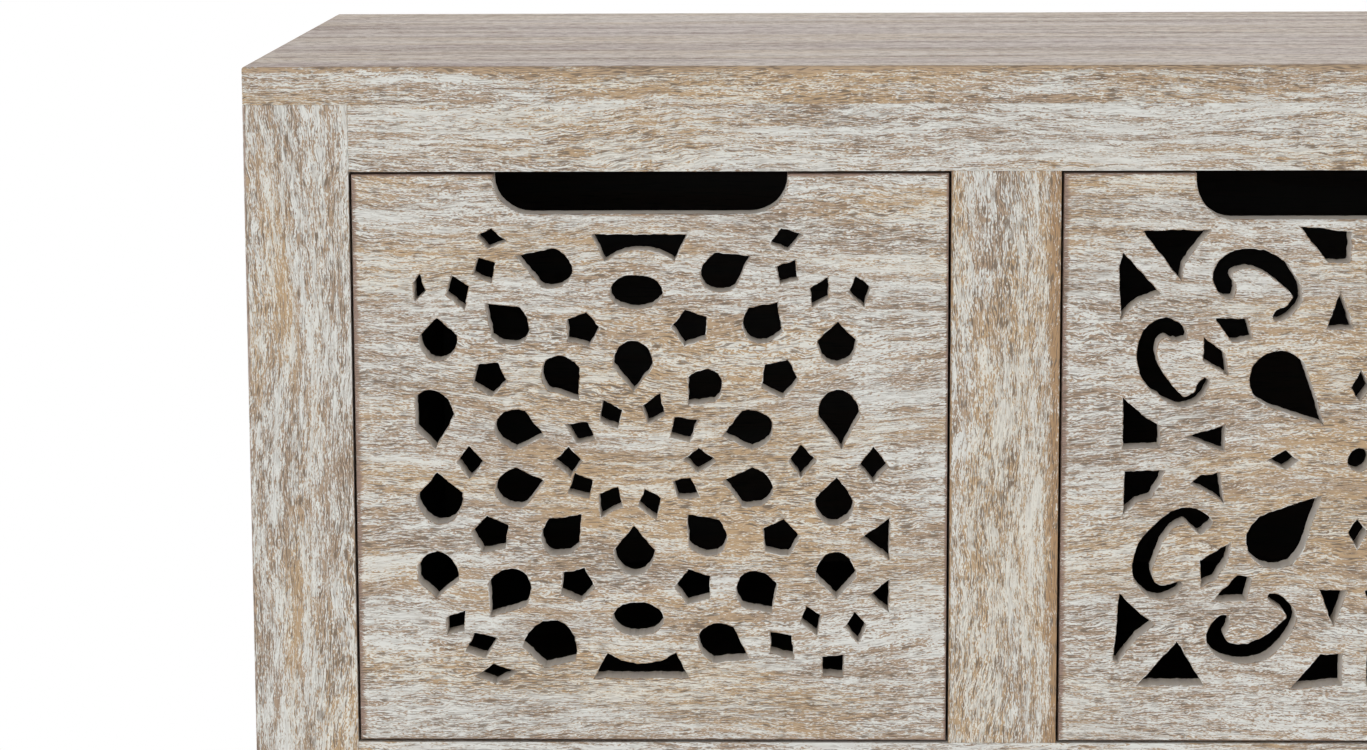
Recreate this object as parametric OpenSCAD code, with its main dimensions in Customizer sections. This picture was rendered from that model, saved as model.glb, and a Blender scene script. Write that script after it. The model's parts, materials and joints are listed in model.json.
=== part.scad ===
// Chest of six drawers in whitewashed hardwood.
// Frame: X is the width, the fronts face -Y, +Z is up, and the origin is on the floor under the middle.

/* [Overall] */
// Width over the two posts
width = 725; // [650:5:800]
// Depth from the front faces to the back faces
depth = 400; // [340:5:460]
// Height from the floor to the top of the top board
height = 1085; // [980:5:1200]

/* [Frame] */
// Side of each square post
post = 50; // [44:1:60]
// Thickness of the top board
top_t = 18; // [15:1:25]
// Height of the rail under the top board
top_rail_h = 32; // [28:1:45]
// Height of the two rails between the drawer rows
mid_rail_h = 40; // [32:1:50]
// Height of the bottom rail
bottom_rail_h = 50; // [40:1:65]
// Clear height under the bottom rail
leg_h = 70; // [40:1:110]
// Thickness of the front rails and stiles, front to back
front_rail_t = 28; // [24:1:34]
// Thickness of the back rails, front to back
back_rail_t = 22; // [18:1:28]
// Width of the short stile between two drawers
stile_w = 52; // [44:1:64]
// Height of the top and bottom rails of each side
side_rail_h = 50; // [40:1:60]
// Thickness of the side rails
side_rail_t = 20; // [18:1:24]
// How far the side rails sit in from the outer faces of the posts
side_set_in = 4; // [2:1:8]
// Thickness of the side panels
side_panel_t = 8; // [6:1:10]
// Thickness of the back panel
back_panel_t = 6; // [4:1:8]
// Height of each floor glide under a post
glide_h = 4; // [3:0.5:6]

/* [Drawers] */
// Thickness of the drawer fronts
front_t = 15; // [13:1:20]
// Gap around each drawer front
front_gap = 1.2; // [0.8:0.1:2.5]
// Thickness of drawer sides and backs
side_t = 12; // [10:1:15]
// Thickness of the drawer bottoms
bottom_t = 6; // [4:1:9]
// Height of the drawer box as a part of the opening's height
box_part = 0.88; // [0.7:0.01:0.93]
// Gap between the drawer box and the back rails
box_back_gap = 8; // [5:1:25]
// Length of the finger notch over a mandala
notch_w = 140; // [100:5:160]
// Depth of the finger notch over a mandala
notch_d = 19; // [14:1:20]
// Length of the finger notch over scrollwork
scroll_notch_w = 150; // [100:5:160]
// Depth of the finger notch over scrollwork
scroll_notch_d = 22; // [14:1:22]

/* [Joinery] */
// Clearance around tenons, tongues and panels in their slots
joint_gap = 0.15; // [0.1:0.05:0.3]
// Length of the rail tenons in the posts
tenon_l = 24; // [16:1:28]
// Thickness of every rail tenon
tenon_t = 10; // [8:1:11]
// Depth of the grooves for the side and back panels
groove_d = 8; // [6:1:9]

/* [Hidden] */
cols = 2;
rows = 3;
y_front = -depth / 2;
y_back = depth / 2;
x_inner = width / 2 - post;
y_inner = depth / 2 - post;
post_top = height - top_t;
opening_w = (width - 2 * post - stile_w) / 2;
opening_h = (post_top - top_rail_h - 2 * mid_rail_h - bottom_rail_h - leg_h) / rows;
front_w = opening_w - 2 * front_gap;
front_h = opening_h - 2 * front_gap;
box_h = box_part * opening_h;

// Middle of a drawer column
function bay_x(col) = (col - 0.5) * (stile_w + opening_w);
// Top face of the rail that a drawer row stands on, counted from the top row
function bay_z(row) = post_top - top_rail_h - opening_h - row * (opening_h + mid_rail_h);

// Foot and height of each cross rail, from the top rail down
RAILS = [
    [post_top - top_rail_h, top_rail_h],
    [bay_z(0) - mid_rail_h, mid_rail_h],
    [bay_z(1) - mid_rail_h, mid_rail_h],
    [leg_h, bottom_rail_h]
];
// Foot of the top and bottom side rails
SIDE_RAILS = [post_top - side_rail_h, leg_h];

tenon_shoulder = 6;
side_tenon_shoulder = groove_d + 2;
side_tenon_l = 20;
side_tenon_t = 8;
front_rail_y = y_front + front_rail_t / 2;
rail_back_y = y_front + front_rail_t;
back_lip = 6;
back_panel_y = y_back - back_lip - back_panel_t;
back_rail_y = back_panel_y - back_rail_t / 2;
back_rail_front_y = back_panel_y - back_rail_t;
side_rail_x = width / 2 - side_set_in - side_rail_t / 2;
side_rail_inner_x = side_rail_x - side_rail_t / 2;
panel_slack = 1;

// Short tenons of the stiles
stile_shoulder = 11;
stile_tenon_w = stile_w - 2 * stile_shoulder;
stile_tenon_l = 12;

// Bearers that the drawers run on, and the strips that guide them
bearer_h = 18;
bearer_reach = 14;
stub_l = 6;
stub_h = 10;
side_stub_w = 8;
centre_stub_w = 30;
guide_h = 20;
stop_l = 40;
stop_w = 10;
stop_h = 6;
stop_spread = 80;

// Drawer box
box_set_in = 1;
housing_d = 6;
bottom_raise = 12;
bottom_in = 5;
back_in = 4;
groove_slack = 0.5;
side_tail = 6;
box_x = front_w / 2 - box_set_in;
box_inner_x = box_x - side_t;
front_back_y = y_front + front_t;
box_end_y = back_rail_front_y - box_back_gap;
box_back_y = box_end_y - side_tail - side_t;

// Screws that hold the top board, and the glides' pins
screw_r = 2;
screw_head_r = 4;
screw_head_h = 2.5;
screw_bite = 12;
screw_clear = 0.3;
counterbore_r = 5;
counterbore_d = 8;
pilot_clear = 0.05;
glide_r = 14;
glide_pin_r = 1.5;
glide_pin_l = 14;
pin_end_gap = 1;
eps = 1;
SCREW_SIDES = 32;
GLIDE_SIDES = 48;
PIN_SIDES = 24;

DRAWERS = ["top_left", "top_right", "middle_left", "middle_right", "bottom_left", "bottom_right"];
DRAWER_PIECES = ["front", "left_side", "right_side", "back", "bottom"];
CARCASS = [
    "top_board", "front_left_post", "front_right_post", "back_left_post", "back_right_post",
    "front_top_rail", "front_upper_rail", "front_lower_rail", "front_bottom_rail",
    "top_stile", "middle_stile", "bottom_stile",
    "back_top_rail", "back_upper_rail", "back_lower_rail", "back_bottom_rail", "back_panel",
    "left_top_side_rail", "left_bottom_side_rail", "right_top_side_rail", "right_bottom_side_rail",
    "left_side_panel", "right_side_panel", "side_bearers", "centre_bearers", "side_guides",
    "centre_guides", "drawer_stops", "top_screws", "floor_glides"
];

wash = [0.80, 0.78, 0.74];
dark_wood = [0.16, 0.12, 0.09];
steel = [0.62, 0.62, 0.64];
nylon = [0.2, 0.18, 0.16];

// Pierced ornament
// Sizes and places are in millimetres from the middle of a front of the standard size, and the whole
// pattern shrinks or grows with the front. Every outline points along +X before it is turned.
standard_front = [284, 276];
ornament_fit = min(front_w / standard_front[0], front_h / standard_front[1]);
ARC_STEPS = 12;
OVAL_STEPS = 20;
NOTCH_STEPS = 8;
SCROLL_STEPS = 4;

// Area that the mandala fills, and where its middle lies from the front's middle
field_w = 227.4;
field_h = 216;
field_x = 0.8;
field_z = 0.9;

// Drawn straight to a point from two cheeks, and round behind them
CHEEK = 0.64;
function petal(w, l) =
    let (back = w * CHEEK)
    concat(
        [[l / 2, 0]],
        [for (i = [0 : ARC_STEPS]) let (a = 90 + 180 * i / ARC_STEPS)
            [back - l / 2 + back * cos(a), w / 2 * sin(a)]]
    );
// The same without cheeks, its round end a true circle
function drop(w, l) =
    let (r = w / 2, reach = l - r, turn = acos(r / reach))
    concat(
        [[l / 2, 0]],
        [for (i = [0 : ARC_STEPS]) let (a = turn + (360 - 2 * turn) * i / ARC_STEPS)
            [r - l / 2 + r * cos(a), r * sin(a)]]
    );
// Four points, long along X, its widest place a little towards the inner end
LOZENGE_SHIFT = 0.06;
function lozenge(w, l) =
    [[l / 2, 0], [-l * LOZENGE_SHIFT, w / 2], [-l / 2, 0], [-l * LOZENGE_SHIFT, -w / 2]];
// Five points, one of them at the outer end
function five_sided(r) = [for (i = [0 : 4]) r * [cos(72 * i), sin(72 * i)]];
function oval(w, l) = [for (i = [1 : OVAL_STEPS]) let (a = 360 * i / OVAL_STEPS)
    [l / 2 * cos(a), w / 2 * sin(a)]];
// Flat on top, with two horns that hang from its ends and an arch between them
// The parts of the width and height that the horns' tips and the arch take, and the angles of the arch
HORN_OUT = 0.36;
ARCH_OUT = 0.34;
ARCH_RISE = 0.62;
ARCH_DROP = 0.7;
ARCH_START = 35;
ARCH_TURN = 110;
function brow(w, h) = concat(
    [[-w / 2, h / 2], [w / 2, h / 2], [w * HORN_OUT, -h / 2]],
    [for (i = [0 : ARC_STEPS]) let (a = ARCH_START + ARCH_TURN * i / ARC_STEPS)
        [w * ARCH_OUT * cos(a), h * (ARCH_RISE * sin(a) - ARCH_DROP)]],
    [[-w * HORN_OUT, -h / 2]]
);

// Smooth line through points [x, z, width]
function spline_at(p, i, t) =
    let (a = p[max(i - 1, 0)], b = p[i], c = p[i + 1], d = p[min(i + 2, len(p) - 1)])
    0.5 * (2 * b + (c - a) * t + (2 * a - 5 * b + 4 * c - d) * t * t
        + (3 * b - a - 3 * c + d) * t * t * t);
function smooth(p, steps) = concat(
    [for (i = [0 : len(p) - 2]) for (k = [0 : steps - 1]) spline_at(p, i, k / steps)],
    [p[len(p) - 1]]
);
// Outline of a ribbon that follows the line with the width that each point states
function side_of(s, i, hand) =
    let (a = s[max(i - 1, 0)], b = s[min(i + 1, len(s) - 1)], d = [b[0] - a[0], b[1] - a[1]])
    [s[i][0], s[i][1]] + hand * s[i][2] / 2 * [-d[1], d[0]] / norm(d);
function ribbon(s) = concat(
    [for (i = [0 : len(s) - 1]) side_of(s, i, 1)],
    [for (i = [len(s) - 1 : -1 : 0]) side_of(s, i, -1)]
);
// C scroll of the upper half, from its thick hook round to its thin tail, about the scroll's own middle
SCROLL = [
    [4, 13, 4], [2.5, 16, 8], [-4, 19.5, 9], [-10.5, 15.5, 9], [-12.8, 6, 9.5], [-9.5, -4.5, 10],
    [-2, -12.5, 7.5], [5, -16.6, 4.8], [11, -14, 4.6], [14.5, -8.5, 5.2], [16, -5.5, 2.5]
];
// C scroll of the lower half, which leans the other way, from its blunt top end round to its thin tail
LOW_SCROLL = [
    [16, 11, 8], [11.5, 15.5, 9.5], [5, 18, 7.5], [-3, 13.5, 7.5], [-9.5, 6, 9.5], [-13, -1.5, 10.5],
    [-14.5, -9, 9.5], [-12, -16.5, 8], [-6, -20, 6.5], [0, -18.5, 5.5], [4.5, -15.5, 3]
];

module at(x, z, turn = 0) {
    translate([x, z]) rotate(turn) children();
}
// A ring of count pieces on an ellipse, each turned outwards, leaving out the angles in skip
module ring(a, b, start, count, skip) {
    for (i = [0 : count - 1]) {
        t = (start + 360 * i / count) % 360;
        if (len([for (s = skip) if (s == t) s]) == 0)
            at(a * cos(t), b * sin(t), atan2(b * sin(t), a * cos(t))) children();
    }
}

// Mandala: five rings of petals, five-sided holes and lozenges, filled out to a rectangle. It is sawn by
// hand, so its outer rings and small fillers sit a little off the middle of its inner rings.
inner_x = -8.4;
outer_x = -6.8;
mandala_z = 0.8;
// X, Z, width and length of each lozenge of the innermost ring, which all point away from its middle
CORE = [
    [32, -0.9, 12, 16], [24.3, 14.6, 14, 15.5], [9.9, 24.4, 12, 16], [-11.2, 21.8, 12, 16],
    [-25.5, 12.9, 12, 16], [-31.6, -1.6, 14.5, 14], [-25.6, -13.8, 14, 13.5], [-11.8, -21.3, 13, 17.5],
    [8, -22.3, 12, 16], [25.2, -15, 12, 16]
];
// Half the width and half the height of the oval ring of inner petals, and each petal's width and length
inner_ring = [57.5, 45];
inner_petal = [19.5, 24.5];
// Angle of the ring's first petal, how many petals share it out, and the angles of the two it leaves out
RING_START = 18;
RING_COUNT = 10;
RING_SKIP = [54, 126];
// X, Z, turn, width and length of the other petals of the inner rings
ODD_PETALS = [
    [33.3, 34, 228, 17.5, 20.5], [-33.3, 38.5, -54, 19, 24.7], [59.6, -66, -55, 20.5, 23.5],
    [-61.7, -66.5, -126, 21.5, 27]
];
// X, Z, radius and lean of each five-sided hole of the ring round the inner petals
FIVES = [
    [27.7, 63.5, 9, 5], [-24.4, 62.7, 8.6, 0], [69.9, 39.1, 9.6, 0], [-69, 39.2, 8.7, 18],
    [70.3, -39.1, 9.6, 0], [-69.1, -37.4, 9.6, 0], [28.8, -63, 9.2, -8], [-27.8, -62, 8.8, 0]
];
// X, Z, turn, width and length of each petal of the outer rings
PETALS = [
    [61, 66.3, 55, 19.5, 22], [-62.7, 66.5, 137, 19.5, 25.5], [96, 55.8, 88, 18.5, 21],
    [-95, 58, 92, 18.5, 21], [97, 19.2, -85, 20.5, 28.5], [-98.6, 19.2, -83, 22, 28.5],
    [94.9, -20.7, 85, 19.2, 23.6], [-95.1, -19.5, 95, 22.5, 25], [95.5, -57, -88, 19.5, 22.5],
    [-97, -57, -92, 21, 22.5], [43.2, 91.4, 30, 19.5, 26], [-44, 93.3, 160, 19, 28],
    [41.9, -92, -28, 20, 27], [-42, -91.3, -105, 26.5, 24]
];
// The same of each small filler
FILLERS = [
    [-75.6, 107.2, -10, 9.8, 14], [65, 106.8, 16, 11.5, 16.4], [-79, 92, -62, 12.5, 13.5],
    [65.6, 91, 58, 12, 13.8], [-91.8, 81.3, -70, 11.5, 17.5], [81, 81.5, 62, 9.8, 16.4],
    [-111.2, 83.5, 80, 8, 13], [100, 81.5, -75, 11, 16], [-94.8, -79.8, 53, 11, 14.6],
    [77.1, -78.8, -70, 10.6, 15], [-82.4, -90.8, 23, 13.4, 17], [63, -91, -50, 13.5, 17.5],
    [98.7, -82.3, -83, 10.6, 15.8], [-75.3, -105.2, 6, 9.8, 20.6], [87.7, -100.8, 45, 14, 14.5],
    [106.6, -2, 90, 14.8, 17], [-86.7, -1, 0, 16, 13.4], [72.7, -0.4, 0, 16.2, 13.6]
];
// Z, width and length of the lozenges that the right edge of the field cuts in half
EDGE_LOZENGES = [[-38.5, 23, 28], [-66.6, 18.5, 19.5]];
// Z, width and length of the two ovals
OVALS = [[80.7, 16.5, 25.5], [-78.7, 16.5, 25]];
// The long piece in the middle of the top and bottom edges
brow_x = -5;
brow_in = 6;
brow_size = [46, 12.5];
module mandala() {
    at(inner_x, mandala_z) {
        for (c = CORE) at(c[0], c[1], atan2(c[1], c[0])) polygon(lozenge(c[2], c[3]));
        ring(inner_ring[0], inner_ring[1], RING_START, RING_COUNT, RING_SKIP) rotate(180)
            polygon(petal(inner_petal[0], inner_petal[1]));
        for (p = ODD_PETALS) at(p[0], p[1], p[2]) polygon(petal(p[3], p[4]));
        for (f = FIVES) at(f[0], f[1], atan2(-f[1], -f[0]) + f[3]) polygon(five_sided(f[2]));
    }
    at(outer_x, mandala_z) {
        for (o = OVALS) at(0, o[0]) polygon(oval(o[1], o[2]));
        for (p = PETALS) at(p[0], p[1], p[2]) polygon(petal(p[3], p[4]));
    }
    for (f = FILLERS) at(f[0], f[1], f[2]) polygon(lozenge(f[3], f[4]));
    for (s = [-1, 1])
        at(brow_x, field_z + s * (field_h / 2 - brow_in), s > 0 ? 0 : 180)
            polygon(brow(brow_size[0], brow_size[1]));
    for (e = EDGE_LOZENGES) at(field_x + field_w / 2, e[0], 180) polygon(lozenge(e[1], e[2]));
}

// Scrollwork: C scrolls with small straight-edged pieces round them. Its left and right halves are alike,
// but the lower half is not quite the upper one turned over. These are the outlines of the left half.
UPPER_PIECES = [
    [[-113, 30.5], [-104.5, 22.5], [-95, 16.5], [-95, 6], [-112.5, 6]],
    [[-83, 11.2], [-64, 17.4], [-64, 4]],
    [[-113.5, 99.5], [-95.5, 80.5], [-105.5, 77], [-110.5, 73], [-114.5, 68], [-115.5, 94]],
    [[-105, 110.8], [-72.5, 110.8], [-81, 100.5], [-85, 94], [-86, 86.5]],
    [[-69.5, 68.4], [-54.5, 68.4], [-51.5, 58.5], [-61.5, 57]],
    [[-75, 59.8], [-64.5, 51], [-63.5, 41.5], [-75.3, 48]],
    [[-30.5, 112.5], [-16.5, 95], [-6, 95], [-6, 110]],
    [[-10.5, 81.5], [-17, 63.5], [-4, 63.5]]
];
LOWER_PIECES = [
    [[-111.5, -5.6], [-92.4, -4.8], [-96, -13.4], [-98.6, -18.4], [-105.4, -20.4], [-112.2, -26.2]],
    [[-80.8, -11.6], [-75.2, -7.2], [-66.4, -6.2], [-64.2, -20.8], [-70.6, -16.2]],
    [[-113.3, -65.5], [-104, -74.5], [-96.5, -80.5], [-105, -87.5], [-113.5, -99], [-116, -98]],
    [[-85.5, -89], [-80.5, -97], [-72, -110.5], [-104.5, -110.5]],
    [[-56.8, -56], [-50, -57.5], [-52.5, -68.8], [-68.6, -68.8]],
    [[-60.4, -40.2], [-75, -49], [-74.2, -61.6], [-67.6, -58.4], [-62, -50]],
    [[-30.5, -112.5], [-16.5, -95], [-6, -95], [-6, -110]],
    [[-10.5, -81.5], [-17, -63.5], [-4, -63.5]]
];
// X and Z of the middle of each scroll of the left half, its upper two and its lower two
UPPER_SCROLLS_AT = [[-89.2, 44.9], [-47.5, 84.5]];
LOWER_SCROLLS_AT = [[-88, -44.6], [-47.5, -82.2]];
// The four drops that point at the middle, the four lozenges between them and the round hole they enclose
drop_at = 33;
drop_size = [28, 45];
star_at = 36;
star_size = [9, 15];
round_d = 11;
module scrollwork_half() {
    at(UPPER_SCROLLS_AT[0][0], UPPER_SCROLLS_AT[0][1]) polygon(ribbon(smooth(SCROLL, SCROLL_STEPS)));
    at(UPPER_SCROLLS_AT[1][0], UPPER_SCROLLS_AT[1][1]) mirror([1, 1])
        polygon(ribbon(smooth(SCROLL, SCROLL_STEPS)));
    at(LOWER_SCROLLS_AT[0][0], LOWER_SCROLLS_AT[0][1]) polygon(ribbon(smooth(LOW_SCROLL, SCROLL_STEPS)));
    at(LOWER_SCROLLS_AT[1][0], LOWER_SCROLLS_AT[1][1], 90) polygon(ribbon(smooth(SCROLL, SCROLL_STEPS)));
    for (piece = concat(UPPER_PIECES, LOWER_PIECES)) polygon(piece);
    for (s = [-1, 1]) at(-drop_at, s * drop_at, -45 * s) polygon(drop(drop_size[0], drop_size[1]));
}
module scrollwork() {
    scrollwork_half();
    mirror([1, 0]) scrollwork_half();
    for (a = [0 : 90 : 270]) rotate(a) at(star_at, 0) polygon(lozenge(star_size[0], star_size[1]));
    polygon(oval(round_d, round_d));
}

function has_mandala(col, row) = (col + row) % 2 == 0;
module ornament(col, row) {
    scale(ornament_fit) {
        if (has_mandala(col, row)) intersection() {
            translate([field_x, 0]) square([field_w, 2 * field_h], center = true);
            mandala();
        }
        else scrollwork();
    }
}

// Finger notch in the top edge: nearly upright ends that run into a flat floor by a quarter of an ellipse,
// which takes NOTCH_ROUND of the notch's depth
notch_rx = 18;
notch_x = -4.5;
NOTCH_ROUND = 0.88;
module notch(w, d) {
    rz = d * NOTCH_ROUND;
    polygon(concat(
        [[w / 2, eps], [-w / 2, eps]],
        [for (i = [0 : NOTCH_STEPS]) let (a = 180 + 90 * i / NOTCH_STEPS)
            [notch_rx - w / 2 + notch_rx * cos(a), rz - d + rz * sin(a)]],
        [for (i = [0 : NOTCH_STEPS]) let (a = 270 + 90 * i / NOTCH_STEPS)
            [w / 2 - notch_rx + notch_rx * cos(a), rz - d + rz * sin(a)]]
    ));
}

// Box between two corners
module block(low, high) {
    translate(low) cube(high - low);
}
// An upright sheet whose outline lies in X and Z, from y0 back to y1
module sheet(y0, y1) {
    translate([0, y1, 0]) rotate([90, 0, 0]) linear_extrude(y1 - y0) children();
}

// Drawer pieces
module drawer_front(col, row) {
    z_foot = front_gap;
    color(wash) translate([bay_x(col), 0, bay_z(row)]) difference() {
        sheet(y_front, front_back_y) difference() {
            translate([-front_w / 2, z_foot]) square([front_w, front_h]);
            translate([0, z_foot + front_h / 2]) ornament(col, row);
            translate([notch_x, z_foot + front_h])
                if (has_mandala(col, row)) notch(notch_w, notch_d);
                else notch(scroll_notch_w, scroll_notch_d);
        }
        for (s = [-1, 1]) translate([s * (box_x - side_t / 2), 0, 0])
            block([-side_t / 2 - joint_gap, front_back_y - housing_d, -eps],
                [side_t / 2 + joint_gap, front_back_y + eps, box_h + joint_gap]);
        block([-box_inner_x, front_back_y - bottom_in - groove_slack, bottom_raise],
            [box_inner_x, front_back_y + eps, bottom_raise + bottom_t + 2 * joint_gap]);
    }
}
// hand is -1 for the left side and 1 for the right side
module drawer_side(col, row, hand) {
    color(dark_wood) translate([bay_x(col) + hand * (box_x - side_t / 2), 0, bay_z(row)]) difference() {
        block([-side_t / 2, front_back_y - housing_d, 0], [side_t / 2, box_end_y, box_h]);
        translate([-hand * side_t / 2, 0, 0]) {
            block([-bottom_in - groove_slack, front_back_y - housing_d - eps, bottom_raise],
                [bottom_in + groove_slack, box_end_y + eps, bottom_raise + bottom_t + 2 * joint_gap]);
            block([-back_in, box_back_y - joint_gap, bottom_raise + bottom_t],
                [back_in, box_back_y + side_t + joint_gap, box_h + eps]);
        }
    }
}
module drawer_back(col, row) {
    color(dark_wood) translate([bay_x(col), 0, bay_z(row)])
        block([-box_inner_x - back_in, box_back_y, bottom_raise + bottom_t],
            [box_inner_x + back_in, box_back_y + side_t, box_h]);
}
module drawer_bottom(col, row) {
    color(dark_wood) translate([bay_x(col), 0, bay_z(row)])
        block([-box_inner_x - bottom_in, front_back_y - bottom_in, bottom_raise],
            [box_inner_x + bottom_in, box_back_y + side_t, bottom_raise + bottom_t]);
}

// Carcass pieces
// Tenons are grown by grow on every long face where they cut their own mortise
module rail_tenons(rail, y_mid, grow) {
    block([-x_inner - tenon_l - grow, y_mid - tenon_t / 2 - grow, rail[0] + tenon_shoulder - grow],
        [x_inner + tenon_l + grow, y_mid + tenon_t / 2 + grow, rail[0] + rail[1] - tenon_shoulder + grow]);
}
module side_rail_tenons(foot, grow) {
    for (s = [-1, 1])
        translate([s * side_rail_x, 0, 0])
            block(
                [-side_tenon_t / 2 - grow, -y_inner - side_tenon_l - grow,
                    foot + side_tenon_shoulder - grow],
                [side_tenon_t / 2 + grow, y_inner + side_tenon_l + grow,
                    foot + side_rail_h - side_tenon_shoulder + grow]);
}
module side_panels(grow, slack) {
    for (s = [-1, 1])
        translate([s * side_rail_x, 0, 0])
            block([-side_panel_t / 2 - grow, -y_inner - groove_d + slack, leg_h + side_rail_h - groove_d],
                [side_panel_t / 2 + grow, y_inner + groove_d - slack,
                    post_top - side_rail_h + groove_d - slack]);
}
module back_sheet(grow, slack, top) {
    block([-x_inner - groove_d + slack, back_panel_y, leg_h],
        [x_inner + groove_d - slack, back_panel_y + back_panel_t + 2 * grow, top]);
}
module stile_tenons(row, grow) {
    block([-stile_tenon_w / 2 - grow, front_rail_y - tenon_t / 2 - grow, bay_z(row) - stile_tenon_l - grow],
        [stile_tenon_w / 2 + grow, front_rail_y + tenon_t / 2 + grow,
            bay_z(row) + opening_h + stile_tenon_l + grow]);
}
module bearer_stubs(row, grow) {
    z0 = bay_z(row) - bearer_h / 2 - stub_h / 2;
    for (x = [-x_inner + bearer_reach / 2, 0, x_inner - bearer_reach / 2]) {
        w = x == 0 ? centre_stub_w : side_stub_w;
        block([x - w / 2 - grow, rail_back_y - stub_l - grow, z0 - grow],
            [x + w / 2 + grow, back_rail_front_y + stub_l + grow, z0 + stub_h + grow]);
    }
}
module top_screw_places() {
    for (sx = [-1, 1], part = [0.25, 0.75], y = [front_rail_y, back_rail_y])
        translate([sx * (stile_w / 2 + opening_w * part), y, post_top - top_rail_h + counterbore_d])
            children();
}
module top_screw_holes() {
    top_screw_places() {
        cylinder(r = screw_r + screw_clear, h = top_rail_h, $fn = SCREW_SIDES);
        translate([0, 0, -counterbore_d - eps])
            cylinder(r = counterbore_r, h = counterbore_d + eps, $fn = SCREW_SIDES);
    }
}

module top_board() {
    color(wash) difference() {
        block([-width / 2, y_front, post_top], [width / 2, y_back, height]);
        top_screw_places() cylinder(r = screw_r + pilot_clear,
            h = top_rail_h - counterbore_d + screw_bite + pilot_clear, $fn = SCREW_SIDES);
    }
}
module corner_post(x_hand, y_hand) {
    x = x_hand * (width / 2 - post / 2);
    y = y_hand * (depth / 2 - post / 2);
    color(wash) difference() {
        translate([x, y, 0]) block([-post / 2, -post / 2, glide_h], [post / 2, post / 2, post_top]);
        for (rail = RAILS) rail_tenons(rail, y_hand < 0 ? front_rail_y : back_rail_y, joint_gap);
        for (foot = SIDE_RAILS) side_rail_tenons(foot, joint_gap);
        side_panels(joint_gap, 0);
        if (y_hand > 0) back_sheet(joint_gap, 0, post_top + eps);
        translate([x, y, glide_h - eps])
            cylinder(r = glide_pin_r + pilot_clear, h = glide_pin_l + eps + pin_end_gap, $fn = PIN_SIDES);
    }
}
// A rail from post to post; level counts the rails from the top
module cross_rail(level, y_mid, t, is_front) {
    rail = RAILS[level];
    color(is_front ? wash : dark_wood) difference() {
        union() {
            block([-x_inner, y_mid - t / 2, rail[0]], [x_inner, y_mid + t / 2, rail[0] + rail[1]]);
            rail_tenons(rail, y_mid, 0);
        }
        if (is_front && level < rows) stile_tenons(level, joint_gap);
        if (is_front && level > 0) stile_tenons(level - 1, joint_gap);
        if (level > 0) bearer_stubs(level - 1, joint_gap);
        if (level == 0) top_screw_holes();
    }
}
module stile(row) {
    color(wash) {
        block([-stile_w / 2, y_front, bay_z(row)], [stile_w / 2, rail_back_y, bay_z(row) + opening_h]);
        stile_tenons(row, 0);
    }
}
module side_rail(x_hand, foot) {
    color(wash) intersection() {
        difference() {
            union() {
                translate([x_hand * side_rail_x, 0, 0])
                    block([-side_rail_t / 2, -y_inner, foot], [side_rail_t / 2, y_inner, foot + side_rail_h]);
                side_rail_tenons(foot, 0);
            }
            side_panels(joint_gap, 0);
        }
        translate([x_hand * width / 2, 0, height / 2]) cube([width / 2, depth, height], center = true);
    }
}
module side_panel(x_hand) {
    color(wash) intersection() {
        side_panels(0, panel_slack);
        translate([x_hand * width / 2, 0, height / 2]) cube([width / 2, depth, height], center = true);
    }
}
module back_panel() {
    color(dark_wood) back_sheet(0, panel_slack, post_top - panel_slack);
}
// The bearer is notched round the two posts and enters the front and back rails with short tenons
module side_bearers() {
    color(dark_wood) for (row = [0 : rows - 1], s = [-1, 1]) {
        z0 = bay_z(row) - bearer_h;
        z1 = bay_z(row);
        x0 = x_inner - bearer_reach;
        mirror([s < 0 ? 1 : 0, 0, 0]) {
            block([x0, -y_inner, z0], [side_rail_inner_x, y_inner, z1]);
            block([x0, rail_back_y, z0], [x_inner, back_rail_front_y, z1]);
            intersection() {
                bearer_stubs(row, 0);
                block([x0, y_front, z0], [x_inner, y_back, z1]);
            }
        }
    }
}
module centre_bearers() {
    x1 = stile_w / 2 + bearer_reach;
    color(dark_wood) for (row = [0 : rows - 1]) {
        z0 = bay_z(row) - bearer_h;
        block([-x1, rail_back_y, z0], [x1, back_rail_front_y, bay_z(row)]);
        intersection() {
            bearer_stubs(row, 0);
            block([-x1, y_front, z0], [x1, y_back, bay_z(row)]);
        }
    }
}
module side_guides() {
    color(dark_wood) for (row = [0 : rows - 1], s = [-1, 1])
        mirror([s < 0 ? 1 : 0, 0, 0])
            block([x_inner, -y_inner, bay_z(row)], [side_rail_inner_x, y_inner, bay_z(row) + guide_h]);
}
module centre_guides() {
    color(dark_wood) for (row = [0 : rows - 1])
        block([-stile_w / 2, rail_back_y, bay_z(row)],
            [stile_w / 2, back_rail_front_y, bay_z(row) + guide_h]);
}
module drawer_stops() {
    color(dark_wood) for (col = [0 : cols - 1], row = [0 : rows - 1], s = [-1, 1])
        translate([bay_x(col) + s * stop_spread, front_back_y, bay_z(row)])
            block([-stop_l / 2, 0, 0], [stop_l / 2, stop_w, stop_h]);
}
module top_screws() {
    color(steel) top_screw_places() {
        translate([0, 0, -screw_head_h]) cylinder(r = screw_head_r, h = screw_head_h, $fn = SCREW_SIDES);
        cylinder(r = screw_r, h = top_rail_h - counterbore_d + screw_bite, $fn = SCREW_SIDES);
    }
}
module floor_glides() {
    color(nylon) for (sx = [-1, 1], sy = [-1, 1])
        translate([sx * (width / 2 - post / 2), sy * (depth / 2 - post / 2), 0]) {
            cylinder(r = glide_r, h = glide_h, $fn = GLIDE_SIDES);
            cylinder(r = glide_pin_r, h = glide_h + glide_pin_l, $fn = PIN_SIDES);
        }
}

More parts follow.
